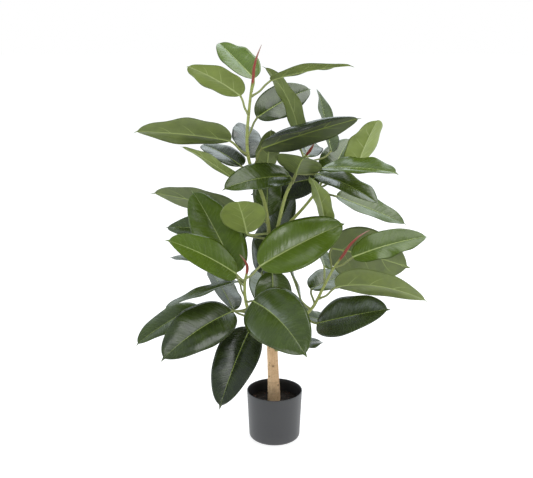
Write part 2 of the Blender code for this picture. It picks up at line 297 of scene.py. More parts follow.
_, pot_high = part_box("pot")
pot_height = pot_high.z
pot_rim_radius = pot_high.x
pot_corners = [vertex.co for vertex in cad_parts["pot"].data.vertices]
pot_foot_radius = max(co.xy.length for co in pot_corners if co.z < pot_height / 2)


def pot_radius(z):
    """The outside of the wall, which leans out from the foot to the rim."""
    share = (z - POT_FOOT_ROUND) / (pot_height - POT_FOOT_ROUND)
    return pot_foot_radius + (pot_rim_radius - pot_foot_radius) * share


def pot_profile():
    lip = POT_WALL / 2
    inner_round = POT_FOOT_ROUND - POT_WALL
    inner_height = POT_FLOOR + inner_round
    inner = arc((pot_radius(inner_height) - POT_WALL - inner_round, inner_height), inner_round, -90, 0)
    rim = arc((pot_rim_radius - lip, pot_height - lip), lip, 180, 0, 12)
    foot = arc((pot_foot_radius - POT_FOOT_ROUND, POT_FOOT_ROUND), POT_FOOT_ROUND, 0, -90)
    inside = [(0, POT_FLOOR), *inner, *straight(inner[-1], rim[0])]
    outside = [*rim, *straight(rim[-1], foot[0]), *foot, (0, 0)]
    return inside + outside


pot = turned_mesh("plant_pot", pot_profile())
print("pot", round(pot_rim_radius * 2000), "mm across,", round(pot_height * 1000), "mm tall")

# %% [markdown]
# The plastic is dark grey with a satin skin. Moulded plastic shows a very fine grain, which is a
# shallow bump here, and an uneven shine. Dust lightens the wall a little near the foot, and the
# inside is painted darker, as painted shade for the shadow that lies inside the pot.

# %% Pot plastic
GREY_PLASTIC = (0.050, 0.050, 0.053)
GREY_DUSTY = (0.070, 0.070, 0.073)
GREY_INSIDE_PAINTED_SHADE = (0.020, 0.019, 0.020)  # painted shade: the inside of the pot lies in shadow
DUST_HEIGHT = 0.03
INSIDE_SHADE_HEIGHT = 0.112  # the painted shade inside is darkest below this


def pot_plastic():
    material, tree, shader = new_material("satin_grey_plastic", 0.4, 0.45)
    place = object_place(tree)
    mottle = use_group(tree, MOTTLE, {"Place": place, "Scale": 22.0, "Detail": 4.0})
    height = add(tree, "ShaderNodeSeparateXYZ", {0: place}).outputs["Z"]
    low_dust = times(tree, soft_step(tree, height, DUST_HEIGHT, 0.0), 0.5)
    worn = plus(tree, low_dust, times(tree, mottle["Mixed"], 0.35))
    color = blend_colors(tree, worn, GREY_PLASTIC, GREY_DUSTY)
    lean = (pot_rim_radius - pot_foot_radius) / pot_height
    wall_middle = plus(tree, times(tree, height, lean), pot_foot_radius - POT_WALL / 2)
    inside = soft_step(tree, minus(tree, wall_middle, from_axis(tree, place)), 0.0, 0.0008)
    # Painted shade: the inside wall darkens towards the soil, for the shadow inside the pot.
    painted_inside_shade = times(tree, inside, soft_step(tree, height, pot_height, INSIDE_SHADE_HEIGHT))
    tree.links.new(blend_colors(tree, painted_inside_shade, color, GREY_INSIDE_PAINTED_SHADE), shader.inputs["Base Color"])
    rough = add(tree, "ShaderNodeMapRange", {"Value": mottle["Mixed"], "To Min": 0.33, "To Max": 0.5})
    tree.links.new(rough.outputs[0], shader.inputs["Roughness"])
    bump(tree, shader, noise(tree, place, 2600.0, 1.0), 0.00004, 0.6)
    return material


pot.data.materials.append(pot_plastic())
hand_over(pot, "pot_plastic", "pot")

# %% [markdown]
# ## The potting mix
#
# The mix is dark, damp and uneven, and it rises a little towards the trunk. It is turned like the
# pot, then its top is moved up and down by smooth noise. The pieces of bark in it are many and
# alike, so Geometry Nodes scatter them over the top: one chip, many instances.

# %% Soil mesh
SOIL_GAP = 0.0004
SOIL_RINGS = 26
SOIL_SIDES = 120
SOIL_LUMPS = 0.0022  # height of the bumps
LUMPS_PER_METRE = 420
CALM_EDGE = 0.004  # the bumps fade out this near the wall
soil_low, soil_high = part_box("soil")
soil_corners = [vertex.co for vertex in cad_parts["soil"].data.vertices]
soil_edge_height = max(co.z for co in soil_corners if co.xy.length > 0.98 * soil_high.x)
soil_radius = pot_radius(soil_edge_height) - POT_WALL - SOIL_GAP


def soil_profile():
    round_height = POT_FLOOR + POT_FOOT_ROUND - POT_WALL
    side_radius = pot_radius(round_height) - POT_WALL - SOIL_GAP
    crown = soil_high.z - soil_edge_height
    top = []
    for i in range(SOIL_RINGS):
        share = i / (SOIL_RINGS - 1)
        top.append((soil_radius * share, soil_edge_height + crown * math.cos(share * math.pi / 2) ** 2))
    bottom = soil_low.z + SOIL_GAP
    return [*top, (side_radius, round_height), (side_radius - POT_FOOT_ROUND, bottom), (0, bottom)]


def smooth_noise(x, y, seed):
    """A cheap two-way noise between about -1 and 1, the same on every run."""
    draw = random.Random(seed)
    total = np.zeros(np.broadcast(x, y).shape)
    for octave in range(4):
        size = 1.7 ** octave
        for _ in range(3):
            turn, shift = draw.uniform(0, math.tau), draw.uniform(0, math.tau)
            total += np.sin((x * math.cos(turn) + y * math.sin(turn)) * size + shift) / size
    return total / 4


soil = turned_mesh("potting_soil", soil_profile(), SOIL_SIDES)
for vertex in soil.data.vertices:
    if vertex.co.z >= soil_edge_height - 0.0001:
        edge_calm = min(1, (soil_radius - vertex.co.xy.length) / CALM_EDGE)
        lumps = smooth_noise(vertex.co.x * LUMPS_PER_METRE, vertex.co.y * LUMPS_PER_METRE, 5)
        vertex.co.z += SOIL_LUMPS * float(lumps) * edge_calm
print("soil", len(soil.data.vertices), "vertices")

# %% Scatter tree for bark chips


def set_tree_inputs(modifier, values):
    """Sets a geometry tree's inputs by their names, through the identifiers that Blender stores."""
    for item in modifier.node_group.interface.items_tree:
        if item.item_type == "SOCKET" and item.in_out == "INPUT" and item.name in values:
            modifier[item.identifier] = values[item.name]


def finish_tree(tree, geometry, material, result):
    """Every tree ends in real geometry with its material."""
    real = add(tree, "GeometryNodeRealizeInstances", {"Geometry": geometry}).outputs[0]
    dressed = add(tree, "GeometryNodeSetMaterial", {"Geometry": real, "Material": material})
    tree.links.new(dressed.outputs[0], result)


def chip_tree():
    tree, given, result = new_group(
        "bark_chips", "GeometryNodeTree",
        {"Ground": ("NodeSocketGeometry", None), "Chips Per m2": (FLOAT, 5000.0),
         "Chip Size": (FLOAT, 0.003), "Seed": ("NodeSocketInt", 3), "Keep Within": (FLOAT, 0.06),
         "Keep Off": (FLOAT, 0.017), "Finish": ("NodeSocketMaterial", None)},
        {"Chips": "NodeSocketGeometry"},
    )
    normal = add(tree, "ShaderNodeSeparateXYZ", {0: add(tree, "GeometryNodeInputNormal").outputs[0]})
    radius = from_axis(tree, add(tree, "GeometryNodeInputPosition").outputs[0])
    chosen = True
    for value, operation, limit in ((normal.outputs["Z"], "GREATER_THAN", 0.5),
                                    (radius, "LESS_THAN", given["Keep Within"]),
                                    (radius, "GREATER_THAN", given["Keep Off"])):
        test = add(tree, "FunctionNodeCompare", {0: value, 1: limit}, operation=operation)
        chosen = add(tree, "FunctionNodeBooleanMath", {0: test.outputs[0], 1: chosen}).outputs[0]
    points = add(tree, "GeometryNodeDistributePointsOnFaces",
                 {"Mesh": given["Ground"], "Selection": chosen,
                  "Density": given["Chips Per m2"], "Seed": given["Seed"]})
    chip = add(tree, "GeometryNodeMeshIcoSphere", {"Radius": given["Chip Size"], "Subdivisions": 1})
    turn = add(tree, "FunctionNodeRandomValue",
               {"Min": (0, 0, 0), "Max": (0.9, 0.9, math.tau), "Seed": 11}, data_type="FLOAT_VECTOR")
    size = add(tree, "FunctionNodeRandomValue",
               {"Min": (0.35, 0.25, 0.15), "Max": (1.25, 0.75, 0.45), "Seed": 12},
               data_type="FLOAT_VECTOR")
    chips = add(tree, "GeometryNodeInstanceOnPoints",
                {"Points": points.outputs["Points"], "Instance": chip.outputs["Mesh"],
                 "Rotation": turn.outputs[0], "Scale": size.outputs[0]})
    finish_tree(tree, chips.outputs[0], given["Finish"], result["Chips"])
    return tree


# %% Soil materials and chips
SOIL_DARK = (0.008, 0.006, 0.005)
SOIL_LIGHT = (0.024, 0.016, 0.012)
CHIP_DARK = (0.022, 0.011, 0.008)
CHIP_PALE = (0.15, 0.075, 0.055)


def crumbly(name, dark, pale, scale, contrast, relief):
    """Soil and bark both: a mottle pulled to a hard contrast, with a rough bump."""
    material, tree, shader = new_material(name, 0.92, 0.25)
    place = object_place(tree)
    mottle = use_group(tree, MOTTLE, {"Place": place, "Scale": scale, "Detail": 5.0, "Fine Share": 0.5})
    share = soft_step(tree, mottle["Mixed"], 0.5 - contrast, 0.5 + contrast)
    tree.links.new(blend_colors(tree, share, dark, pale), shader.inputs["Base Color"])
    bump(tree, shader, mottle["Mixed"], relief)
    return material


soil.data.materials.append(crumbly("damp_soil", SOIL_DARK, SOIL_LIGHT, 160.0, 0.12, 0.002))
chip_finish = crumbly("bark_chip", CHIP_DARK, CHIP_PALE, 90.0, 0.18, 0.0006)
chips = show("bark_chips", soil.data.copy())
chips.data.materials.clear()
scatter = chips.modifiers.new("scatter", "NODES")
scatter.node_group = chip_tree()
set_tree_inputs(scatter, {"Keep Within": soil_radius - 0.005, "Finish": chip_finish})
flatten(chips)
hand_over(soil, "potting_mix", "soil")
hand_over(chips, "potting_mix")
print("chips:", len(chips.data.polygons), "faces")

# %% [markdown]
# ## Reading centre lines from the solids
#
# The trunk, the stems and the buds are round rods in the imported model: rings of corners, closed by
# a flat cap at each end. A finer skin needs the rod's centre line. The caps are found first,
# because merging flat neighbours turns each cap into one face with many corners. From the lower
# cap's corners, each step along the edges reaches the next ring.

# %% Rings of a solid
SAME_PLANE = math.radians(0.05)
CAP_CORNERS = 8


def merged_solid(node):
    shape = bmesh.new()
    shape.from_mesh(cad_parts[node].data)
    bmesh.ops.remove_doubles(shape, verts=shape.verts, dist=0.000001)
    shape.verts.index_update()
    return shape


def layers_from(first):
    """Lists of vertices, each one step of edges further from the first, in the same order every run."""
    layers, seen = [list(first)], set(first)
    while layers[-1]:
        near = {edge.other_vert(vertex) for vertex in layers[-1] for edge in vertex.link_edges} - seen
        seen |= near
        layers.append(sorted(near, key=lambda vertex: vertex.index))
    return layers[:-1]


def middle(points):
    return sum(points, Vector()) / len(points)


def is_cap(corners):
    center = middle(corners)
    reach = [(corner - center).length for corner in corners]
    return len(corners) >= CAP_CORNERS and max(reach) < 1.2 * min(reach)


def rod_line(node):
    """A rod's ring centres as (x, y, z, radius), from the foot up."""
    shape = merged_solid(node)
    merged_faces = shape.copy()
    bmesh.ops.dissolve_limit(merged_faces, angle_limit=SAME_PLANE, verts=merged_faces.verts,
                             edges=merged_faces.edges)
    faces = [[vertex.co.copy() for vertex in face.verts] for face in merged_faces.faces]
    foot = min((corners for corners in faces if is_cap(corners)), key=lambda corners: middle(corners).z)
    first = [vertex for vertex in shape.verts if min((vertex.co - co).length for co in foot) < 0.000001]
    line = []
    for layer in layers_from(first):
        center = middle([vertex.co for vertex in layer])
        radius = sum((vertex.co - center).length for vertex in layer) / len(layer)
        line.append((*center, radius))
    shape.free()
    merged_faces.free()
    return line


rod_lines = {name: rod_line(name) for name in [*STEMS, *BUDS, "trunk"]}
print({name: len(line) for name, line in rod_lines.items()})

# %% [markdown]
# ## Trunk, stems and buds from one tree
#
# All of them are a round section swept along a line, so one Geometry Nodes tree makes them all. It
# smooths the line, swells it where an old leaf has left a ring-shaped scar, sweeps a circle along
# it and pushes the skin in and out with noise. It also stores how far along the rod each point is,
# and how close to a scar, for the materials.

# %% Rod tree


def rod_tree():
    tree, given, result = new_group(
        "round_rod", "GeometryNodeTree",
        {"Line": ("NodeSocketGeometry", None), "Step": (FLOAT, 0.002), "Sides": ("NodeSocketInt", 24),
         "Scar Spacing": (FLOAT, 0.03), "Scar Height": (FLOAT, 0.0004), "Scar Width": (FLOAT, 0.06),
         "Relief": (FLOAT, 0.0), "Relief Scale": (FLOAT, 200.0), "Finish": ("NodeSocketMaterial", None)},
        {"Rod": "NodeSocketGeometry"},
    )
    curve = add(tree, "GeometryNodeMeshToCurve", {"Mesh": given["Line"]}).outputs[0]
    stored = add(tree, "GeometryNodeInputNamedAttribute", {"Name": "rod_radius"},
                 data_type="FLOAT").outputs[0]
    sized = add(tree, "GeometryNodeSetCurveRadius", {"Curve": curve, "Radius": stored}).outputs[0]
    smooth = add(tree, "GeometryNodeCurveSplineType", {"Curve": sized}, spline_type="CATMULL_ROM")
    fine = add(tree, "GeometryNodeResampleCurve",
               {"Curve": smooth.outputs[0], "Length": given["Step"]}, mode="LENGTH").outputs[0]
    spline = add(tree, "GeometryNodeSplineParameter")
    wander = add(tree, "ShaderNodeTexNoise", {"W": times(tree, spline.outputs["Length"], 40.0)},
                 noise_dimensions="1D").outputs[0]
    turns = calc(tree, "DIVIDE", spline.outputs["Length"], given["Scar Spacing"])
    phase = calc(tree, "FRACT", plus(tree, turns, wander))
    distance = calc(tree, "ABSOLUTE", minus(tree, phase, 0.5))
    scar = soft_step(tree, distance, given["Scar Width"], 0.0)
    radius = add(tree, "GeometryNodeInputRadius").outputs[0]
    swollen = plus(tree, radius, times(tree, scar, given["Scar Height"]))
    for name, value in (("along", spline.outputs["Factor"]), ("scar", scar)):
        fine = add(tree, "GeometryNodeStoreNamedAttribute",
                   {"Geometry": fine, "Name": name, "Value": value},
                   data_type="FLOAT", domain="POINT").outputs[0]
    circle = add(tree, "GeometryNodeCurvePrimitiveCircle", {"Resolution": given["Sides"], "Radius": 1.0})
    skin = add(tree, "GeometryNodeCurveToMesh",
               {"Curve": fine, "Profile Curve": circle.outputs[0], "Scale": swollen, "Fill Caps": True})
    lumps = add(tree, "ShaderNodeTexNoise", {"Scale": given["Relief Scale"], "Detail": 3.0}).outputs[0]
    push = times(tree, minus(tree, lumps, 0.5), given["Relief"])
    normal = add(tree, "GeometryNodeInputNormal").outputs[0]
    offset = add(tree, "ShaderNodeVectorMath", {0: normal, "Scale": push}, operation="SCALE").outputs[0]
    rough = add(tree, "GeometryNodeSetPosition", {"Geometry": skin.outputs[0], "Offset": offset})
    shaded = add(tree, "GeometryNodeSetShadeSmooth", {"Geometry": rough.outputs[0]})
    finish_tree(tree, shaded.outputs[0], given["Finish"], result["Rod"])
    return tree


ROD_TREE = rod_tree()
ROD_FOOT_DEPTH = 0.0025  # a rod's foot reaches this far into what carries it


def make_rod(name, line, finish, **values):
    foot, following = Vector(line[0][:3]), Vector(line[1][:3])
    below = foot + (foot - following).normalized() * ROD_FOOT_DEPTH
    line = [(*below, line[0][3]), *line]
    mesh = bpy.data.meshes.new(name)
    mesh.from_pydata([point[:3] for point in line], [(i, i + 1) for i in range(len(line) - 1)], [])
    radius = mesh.attributes.new("rod_radius", "FLOAT", "POINT")
    radius.data.foreach_set("value", [point[3] for point in line])
    rod = show(name, mesh)
    modifier = rod.modifiers.new("rod", "NODES")
    modifier.node_group = ROD_TREE
    named = {key.replace("_", " ").title(): value for key, value in values.items()}
    set_tree_inputs(modifier, {**named, "Finish": finish})
    flatten(rod)
    return rod


# %% [markdown]
# ## Bark and green wood
#
# The trunk is bare tan wood with fine streaks up its length, soft stains and many tiny dark specks.
# Streaks come from noise stretched along the trunk, and specks from the cells of a Voronoi texture,
# where only some cells may show theirs. The stems are still green, with browner scars.

# %% Wood materials
BARK_PALE = (0.80, 0.545, 0.32)
BARK_TAN = (0.59, 0.37, 0.198)
BARK_SPECK = (0.10, 0.048, 0.024)
STEM_GREEN = (0.27, 0.33, 0.07)
STEM_PALE = (0.40, 0.42, 0.14)
STEM_SCAR = (0.17, 0.13, 0.05)


def attribute(tree, name, output="Fac"):
    return add(tree, "ShaderNodeAttribute", attribute_name=name).outputs[output]


def speck_mask(tree, place, scale, size, share):
    """Small round specks in a share of the cells of a Voronoi texture."""
    cells = add(tree, "ShaderNodeTexVoronoi", {"Vector": place, "Scale": scale})
    spot = soft_step(tree, cells.outputs["Distance"], size, size * 0.35)
    draw = add(tree, "ShaderNodeSeparateColor", {0: cells.outputs["Color"]}).outputs[0]
    return times(tree, spot, soft_step(tree, draw, 1 - share, 1 - share + 0.02))


def bark():
    material, tree, shader = new_material("tan_bark", 0.75, 0.3)
    place = object_place(tree)
    stretched = add(tree, "ShaderNodeMapping", {0: place, "Scale": (1, 1, 0.12)}).outputs[0]
    streaks = use_group(tree, MOTTLE, {"Place": stretched, "Scale": 260.0, "Detail": 3.0})
    stains = use_group(tree, MOTTLE, {"Place": place, "Scale": 38.0, "Detail": 4.0, "Fine Share": 0.3})
    both = plus(tree, times(tree, streaks["Mixed"], 0.35), times(tree, stains["Mixed"], 0.65))
    color = blend_colors(tree, soft_step(tree, both, 0.38, 0.62), BARK_TAN, BARK_PALE)
    small = speck_mask(tree, place, 330.0, 0.30, 0.35)
    large = speck_mask(tree, place, 85.0, 0.34, 0.4)
    specks = calc(tree, "MAXIMUM", times(tree, small, 0.55), times(tree, large, 0.7))
    dark = calc(tree, "MAXIMUM", specks, times(tree, attribute(tree, "scar"), 0.22))
    tree.links.new(blend_colors(tree, dark, color, BARK_SPECK), shader.inputs["Base Color"])
    bump(tree, shader, minus(tree, both, times(tree, specks, 0.4)), 0.0008, 0.8)
    return material


def green_wood():
    material, tree, shader = new_material("green_stem", 0.48, 0.4)
    place = object_place(tree)
    mottle = use_group(tree, MOTTLE, {"Place": place, "Scale": 70.0, "Detail": 3.0})
    color = blend_colors(tree, mottle["Mixed"], STEM_GREEN, STEM_PALE)
    browning = times(tree, soft_step(tree, attribute(tree, "along"), 0.35, 0.0), 0.45)
    scarred = calc(tree, "MAXIMUM", times(tree, attribute(tree, "scar"), 0.55), browning)
    tree.links.new(blend_colors(tree, scarred, color, STEM_SCAR), shader.inputs["Base Color"])
    bump(tree, shader, mottle["Mixed"], 0.0004, 0.6)
    return material


trunk = make_rod("woody_trunk", rod_lines["trunk"], bark(), step=0.0015, sides=64, scar_spacing=0.034,
                 scar_height=0.0004, scar_width=0.07, relief=0.0011, relief_scale=120.0)
hand_over(trunk, "bark", "trunk")
stem_finish = green_wood()
for name in STEMS:
    stem = make_rod(f"green_{name}", rod_lines[name], stem_finish, step=0.001, sides=24,
                    scar_spacing=0.021, scar_height=0.0005, scar_width=0.05, relief=0.0003,
                    relief_scale=260.0)
    hand_over(stem, "green_stem", name)
print("trunk faces:", len(trunk.data.polygons))

# %% [markdown]
# ## Buds
#
# At the top of each shoot the next leaf waits rolled up in a red sheath, which tapers to a thin
# pinkish point. It uses the same rod tree with no scars. Its colour runs along the rod: green where
# it leaves the stem, red over most of its length, then pale at the dry tip, with fine lengthwise lines.

# %% Bud material and buds
BUD_RED = (0.38, 0.075, 0.048)
BUD_DEEP = (0.24, 0.035, 0.026)
BUD_TIP = (0.40, 0.23, 0.19)


def bud_sheath():
    material, tree, shader = new_material("red_sheath", 0.42, 0.45)
    along = attribute(tree, "along")
    stretched = add(tree, "ShaderNodeMapping", {0: object_place(tree), "Scale": (1, 1, 0.08)}).outputs[0]
    lines = noise(tree, stretched, 900.0, 2.0)
    red = blend_colors(tree, lines, BUD_DEEP, BUD_RED)
    based = blend_colors(tree, soft_step(tree, along, 0.10, 0.0), red, STEM_GREEN)
    tree.links.new(blend_colors(tree, soft_step(tree, along, 0.55, 0.95), based, BUD_TIP),
                   shader.inputs["Base Color"])
    bump(tree, shader, lines, 0.0003, 0.5)
    return material


bud_finish = bud_sheath()
for name in BUDS:
    bud = make_rod(f"sheathed_{name}", rod_lines[name], bud_finish, step=0.001, sides=20,
                   scar_height=0.0)
    hand_over(bud, "red_bud", name)
print("buds:", len(BUDS))

# %% [markdown]
# ## Reading a leaf from its solid
#
# Each packed leaf is a loft: rings of nine corners up the stalk and along the blade, then a single
# point at the tip. Only from the tip does every step of edges reach exactly nine more corners. In a
# blade ring the two corners furthest apart are the edges. Three corners lie between them on the
# upper side and four on the lower side, where the rib is.

# %% Leaf rings
RING_CORNERS = 9
STALK_RINGS = 4


def walk_round(layer):
    """A ring's corners in order round it."""
    members = set(layer)
    ring = [layer[0]]
    while len(ring) < len(layer):
        near = [edge.other_vert(ring[-1]) for edge in ring[-1].link_edges]
        ring.append(next(vertex for vertex in near if vertex in members and vertex not in ring))
    return [vertex.co.copy() for vertex in ring]


def blade_station(ring):
    """The upper side's middle, the way up and the two edges of one blade ring."""
    pairs = [(i, j) for i in range(RING_CORNERS) for j in range(i + 4, min(i + 6, RING_CORNERS))]
    i, j = max(pairs, key=lambda pair: (ring[pair[0]] - ring[pair[1]]).length)
    between, beyond = ring[i + 1:j], ring[j + 1:] + ring[:i]
    upper, lower = (between, beyond) if len(between) == 3 else (beyond, between)
    up = upper[1] - (lower[1] + lower[2]) / 2
    return upper[1], up.normalized(), (ring[i], ring[j])


def read_leaf(node):
    """The stalk's centres from its foot, the blade's stations from its base, and the tip."""
    shape = merged_solid(node)
    for vertex in shape.verts:
        if len(vertex.link_edges) == RING_CORNERS:
            layers = layers_from([vertex])
            if all(len(layer) == RING_CORNERS for layer in layers[1:]):
                break
    else:
        raise ValueError(f"{node} has no tip")
    tip = vertex.co.copy()
    rings = layers[:0:-1]
    stalk = [middle([corner.co for corner in ring]) for ring in rings[:STALK_RINGS]]
    foot_radius = sum((corner.co - stalk[0]).length for corner in rings[0]) / RING_CORNERS
    stations = [blade_station(walk_round(ring)) for ring in rings[STALK_RINGS:]]
    shape.free()
    return stalk, foot_radius, stations, tip


leaf_solids = {name: read_leaf(name) for name in LEAVES}
print(len(leaf_solids), "leaves read, each with", len(leaf_solids[LEAVES[0]][2]), "blade stations")

# %% [markdown]
# ## Smooth curves through the stations
#
# Between two stations the blade has to run smoothly. A cubic Hermite curve passes through every
# station and takes its slope there from both neighbours, for points and directions alike.

# %% Cubic through stations


def cubic(knots, values, at):
    """Reads a smooth curve through values at knots; values may be numbers or rows."""
    knots, values, at = np.asarray(knots, float), np.asarray(values, float), np.asarray(at, float)
    flat = values.ndim == 1
    rows = values[:, None] if flat else values
    slopes = np.gradient(rows, knots, axis=0)
    cell = np.clip(np.searchsorted(knots, at, side="right") - 1, 0, len(knots) - 2)
    span = (knots[cell + 1] - knots[cell])[:, None]
    t = (at - knots[cell])[:, None] / span
    result = (
        rows[cell] * (2 * t**3 - 3 * t**2 + 1)
        + rows[cell + 1] * (3 * t**2 - 2 * t**3)
        + slopes[cell] * span * (t**3 - 2 * t**2 + t)
        + slopes[cell + 1] * span * (t**3 - t**2)
    )
    return result[:, 0] if flat else result


def unit(rows):
    return rows / np.linalg.norm(rows, axis=1, keepdims=True)


# %% [markdown]
# ## The blade's outline and section
#
# A rubber plant's leaf is a long oval that ends in a narrow drip tip. Each half arches up from the
# midrib, the margin waves a little, and shallow ripples follow the side veins. Below, the midrib
# stands out as a round rib that carries on into the stalk. The columns of the mesh crowd together
# near the midrib, because that is where the section turns most.

# %% Blade shape
BLADE_STEPS = 84
HALF_COLUMNS = 14
STALK_STEPS = 14
SKIN = 0.00038  # half the blade's thickness
BODY_END = 0.955  # where the oval closes and the drip tip goes on
SIDE_VEINS = 12
VEIN_LEAN = 0.12
RIPPLE_HEIGHT = 0.00016  # along the side veins
DENT_HEIGHT = 0.00055
MARGIN_WAVES = (0.0012, 0.0040)
TURN_START = 0.62  # a recurved margin turns down beyond this share of the half width


def outline(share):
    """The half width along the blade, as a share of the largest."""
    body = np.clip(share / BODY_END, 0, 1)
    oval = np.clip(np.sin(np.pi * body**0.8), 0, None) ** 0.55
    drip = 0.14 * np.clip((1 - share) / 0.14, 0, 1) ** 0.85
    return (oval**3 + drip**3) ** (1 / 3)


def column_shares():
    even = np.linspace(1, -1, 2 * HALF_COLUMNS + 1)
    return np.sign(even) * np.abs(even) ** 1.7


def along_shares():
    even = np.linspace(0, 1, BLADE_STEPS + 1)[1:-1]
    return 0.45 * even + 0.55 * (1 - np.cos(np.pi * even)) / 2


def margin_turn(column, recurve):
    """How far each column has turned down at a recurved margin; the sign of recurve is its side."""
    outer = np.clip((column * math.copysign(1, recurve) - TURN_START) / (1 - TURN_START), 0, 1)
    return abs(recurve) * outer**2


def sheet_heights(draw, share, column, half, lift, recurve):
    """How far the middle of the blade's sheet rises at each station and column."""
    side = np.abs(column)
    calm_ends = np.sin(np.pi * share) ** 0.5
    folded = lift * side**1.1
    arched = half * 0.05 * np.sin(np.pi * side**0.85)
    curl = draw.uniform(-0.06, 0.12) * half * np.clip((side - 0.55) / 0.45, 0, 1) ** 2
    total = folded + arched + curl - half * margin_turn(column, recurve) * calm_ends
    for sign in (1, -1):
        waves = np.sin(math.tau * draw.uniform(1.4, 3.2) * share + draw.uniform(0, math.tau))
        waved = draw.uniform(*MARGIN_WAVES) * waves * side**2.2 * calm_ends
        total = total + np.where(column * sign > 0, waved, 0)
    ripple = np.cos(math.tau * SIDE_VEINS * (share - VEIN_LEAN * side)) * np.sin(np.pi * side**0.7)
    dents = smooth_noise(share * 17, column * 4.5, draw.random()) * side**0.5
    return total + (RIPPLE_HEIGHT * ripple + DENT_HEIGHT * dents) * calm_ends


def blade_rings(draw, line, right, up, share, half, lift, stalk_radius, recurve):
    """The blade's rings: each runs over the top from right to left and back underneath.

    The sheet's middle is laid out first, then each side moves out from it along the way it faces.
    """
    column = column_shares()[None, :]
    share, half, lift = share[:, None], half[:, None], lift[:, None]
    x = half * column * np.sqrt(np.clip(1 - (lift / half) ** 2, 0.2, 1))
    x = x * (1 - 0.35 * margin_turn(column, recurve) * np.sin(np.pi * share) ** 0.5)
    sheet = sheet_heights(draw, share, column, half, lift, recurve)
    skin = SKIN * (1 - 0.7 * np.abs(column) ** 8) * np.clip(half / 0.004, 0.25, 1)
    rib_radius = stalk_radius * 0.95 * (1 - share) ** 0.8 + 0.00035
    rib = np.sqrt(np.clip(rib_radius**2 - x**2, 0, None))
    raised = np.clip(1 - share / 0.09, 0, 1) ** 2
    groove = 0.00035 * (1 - share) * np.exp(-((x / 0.0011) ** 2)) * (1 - raised)
    points = line[:, None] + right[:, None] * x[..., None] + up[:, None] * sheet[..., None]
    facing = np.cross(np.gradient(points, axis=0), np.gradient(points, axis=1))
    facing *= (skin / np.linalg.norm(facing, axis=2))[..., None]
    top = points + facing + up[:, None] * (rib * raised - groove)[..., None]
    bottom = points - facing - up[:, None] * (rib * (0.8 + 0.2 * raised))[..., None]
    across, from_rib = np.abs(column) * np.ones_like(x), np.abs(x)
    return (np.concatenate([above, below[:, -2:0:-1]], 1)
            for above, below in ((top, bottom), (across, across), (from_rib, from_rib)))


# %% [markdown]
# ## Building a whole leaf
#
# The stalk is a tube along its own smooth line, with a small flared cushion where it joins the stem.
# Where stalks crowd together they are thinner, without the cushion, so that none cuts into another.
# Stalk rings and blade rings have the same number of corners, so one loop of quads closes the
# whole leaf, with a fan at the foot and another at the tip. Every corner stores its place on the
# blade for the materials, and three materials share the faces: upper side, underside and stalk.

# %% Leaf mesh
FOOT_DEPTH = 0.0012  # the stalk's foot reaches this far into its stem
FOOT_FLARE, FLARE_LENGTH = 0.45, 0.003
CROWDED = ("front_leaf_01", "front_leaf_03", "front_leaf_09", "middle_leaf_02", "middle_leaf_03")
CROWDED_SLIMMING = 0.84
RECURVED = {"leader_leaf_11": 1.0, "leader_leaf_05": 0.3, "right_leaf_06": -0.25}
RAISED_STALKS = {"front_leaf_03": 0.0015}  # clear of the leaf that passes under it
LEAF_PLACE = "leaf_place"
LEAF_TONE = "leaf_tone"


def stalk_rings(stalk, radius, right, count, foot_flare):
    """Round rings from inside the stem to the blade's base."""
    knots = np.concatenate([[0], np.cumsum(np.linalg.norm(np.diff(stalk, axis=0), axis=1))])
    at = np.linspace(0, knots[-1], STALK_STEPS)
    line = cubic(knots, stalk, at)
    tangent = unit(np.gradient(line, at, axis=0))
    line = np.vstack([line[0] - tangent[0] * FOOT_DEPTH, line])
    tangent = np.vstack([tangent[:1], tangent])
    flare = 1 + foot_flare * np.exp(-np.concatenate([[0], at]) / FLARE_LENGTH)
    angles = np.linspace(0, math.tau, count, endpoint=False)
    rings, side = [], right
    for point, along, size in zip(line[::-1], tangent[::-1], flare[::-1]):
        side = side - along * side.dot(along)
        side = side / np.linalg.norm(side)
        over = np.cross(side, along)
        circle = np.outer(np.cos(angles), side) + np.outer(np.sin(angles), over)
        rings.append(point + circle * radius * size)
    return np.array(rings[::-1])


def close_rings(rings, tip):
    """Quads between rings of equal size, a fan at the foot and a fan at the tip."""
    count, size = rings.shape[:2]
    points = [*rings.reshape(-1, 3), rings[0].mean(0), tip]
    foot, point = len(points) - 2, len(points) - 1
    faces = []
    for i in range(size):
        j = (i + 1) % size
        faces.append((foot, j, i))
        faces.append(((count - 1) * size + i, (count - 1) * size + j, point))
        faces.extend((k * size + i, k * size + j, (k + 1) * size + j, (k + 1) * size + i)
                     for k in range(count - 1))
    return points, faces


def mark_leaf(mesh, tone, share, across, from_rib, before):
    """Stores each corner's place on the blade, the leaf's tone and each face's material."""
    rings, count = before + len(share), across.shape[1]
    place = np.zeros((rings * count + 2, 3))
    place[before * count:-2] = np.stack(
        [np.repeat(share, count), across.ravel(), from_rib.ravel() * 1000], 1)
    place[-1] = (1, 0, 0)
    mesh.attributes.new(LEAF_PLACE, "FLOAT_VECTOR", "POINT").data.foreach_set("vector", place.ravel())
    mesh.attributes.new(LEAF_TONE, "FLOAT", "POINT").data.foreach_set("value", [tone] * len(place))
    slots = np.zeros((count, rings + 1), np.int32)
    slots[2 * HALF_COLUMNS:] = 1
    slots[:, 0] = 2
    slots[:, 2:2 + before] = 2
    mesh.polygons.foreach_set("material_index", slots.ravel())


